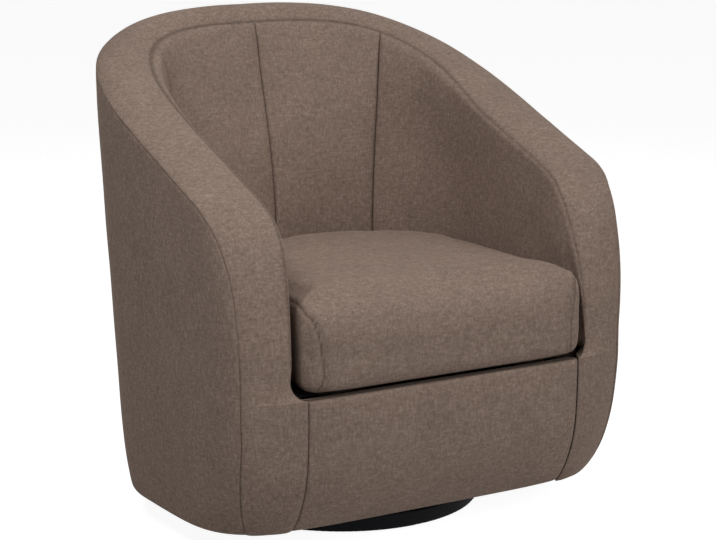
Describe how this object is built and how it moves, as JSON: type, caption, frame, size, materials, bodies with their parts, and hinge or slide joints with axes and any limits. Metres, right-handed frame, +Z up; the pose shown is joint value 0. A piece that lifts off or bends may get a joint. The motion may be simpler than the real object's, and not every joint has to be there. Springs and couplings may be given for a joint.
{
  "type": "swivel chair",
  "caption": "Upholstered barrel chair with a wrap-around padded border, a loose seat cushion and a round base that swivels all the way round.",
  "frame": {"origin": "on the floor, on the swivel axis", "axes": "+Z up, -Y towards the front of the seat, +X towards the sitter's left arm"},
  "size_m": [0.736, 0.692, 0.7791],
  "materials": {
    "non_slip_pad": "thin non-slip rubber sheet",
    "base_black": "black satin paint on a wooden disc",
    "pressed_steel": "pressed steel and drawn spring wire",
    "zinc_steel": "zinc plated",
    "plywood": "bare plywood",
    "timber": "sawn softwood",
    "dark_lining": "dark woven lining",
    "woven_upholstery": "heathered taupe-brown woven upholstery over padding"
  },
  "bodies": {
    "base": {"floor_pad": "non_slip_pad", "base_disc": "base_black", "lower_plate": "pressed_steel", "lower_plate_screws": "zinc_steel", "pivot_bolt": "zinc_steel", "pivot_washer": "zinc_steel", "pivot_nut": "zinc_steel"},
    "cage": {"ball_cage": "pressed_steel", "bearing_balls": "zinc_steel"},
    "cushion": {"seat_cushion": "woven_upholstery", "cushion_zip": "dark_lining"},
    "seat": {"upper_plate": "pressed_steel", "swivel_bolts": "zinc_steel", "swivel_bolt_washers": "zinc_steel", "tee_nuts": "zinc_steel", "dust_cover": "dark_lining", "base_board": "plywood", "swivel_rail_front": "timber", "swivel_rail_back": "timber", "front_rail": "timber", "side_rail_left": "timber", "side_rail_right": "timber", "back_rail": "timber", "corner_blocks": "timber", "arm_post_left": "timber", "arm_post_right": "timber", "side_post_left": "timber", "side_post_right": "timber", "back_post_left": "timber", "back_post_right": "timber", "top_rail": "plywood", "spring_clips": "pressed_steel", "seat_springs": "pressed_steel", "deck_cloth": "dark_lining", "outside_left": "woven_upholstery", "outside_right": "woven_upholstery", "outside_back": "woven_upholstery", "border_band": "woven_upholstery", "front_panel": "woven_upholstery", "inside_arm_left": "woven_upholstery", "inside_arm_right": "woven_upholstery", "inside_back_left": "woven_upholstery", "inside_back_right": "woven_upholstery"}
  },
  "joints": [
    {"name": "seat_swivel", "type": "hinge", "parent": "base", "child": "seat", "pos_m": [0, 0, 0], "axis": [0, 0, 1], "continuous": true},
    {"name": "cage_turn", "type": "hinge", "parent": "base", "child": "cage", "pos_m": [0, 0, 0], "axis": [0, 0, 1], "continuous": true},
    {"name": "cushion_lift", "type": "slide", "parent": "seat", "child": "cushion", "axis": [0, 0, 1], "range_m": [0, 0.25]}
  ],
  "couplings": [
    {"joint": "cage_turn", "follows": "seat_swivel", "ratio": 0.5}
  ]
}
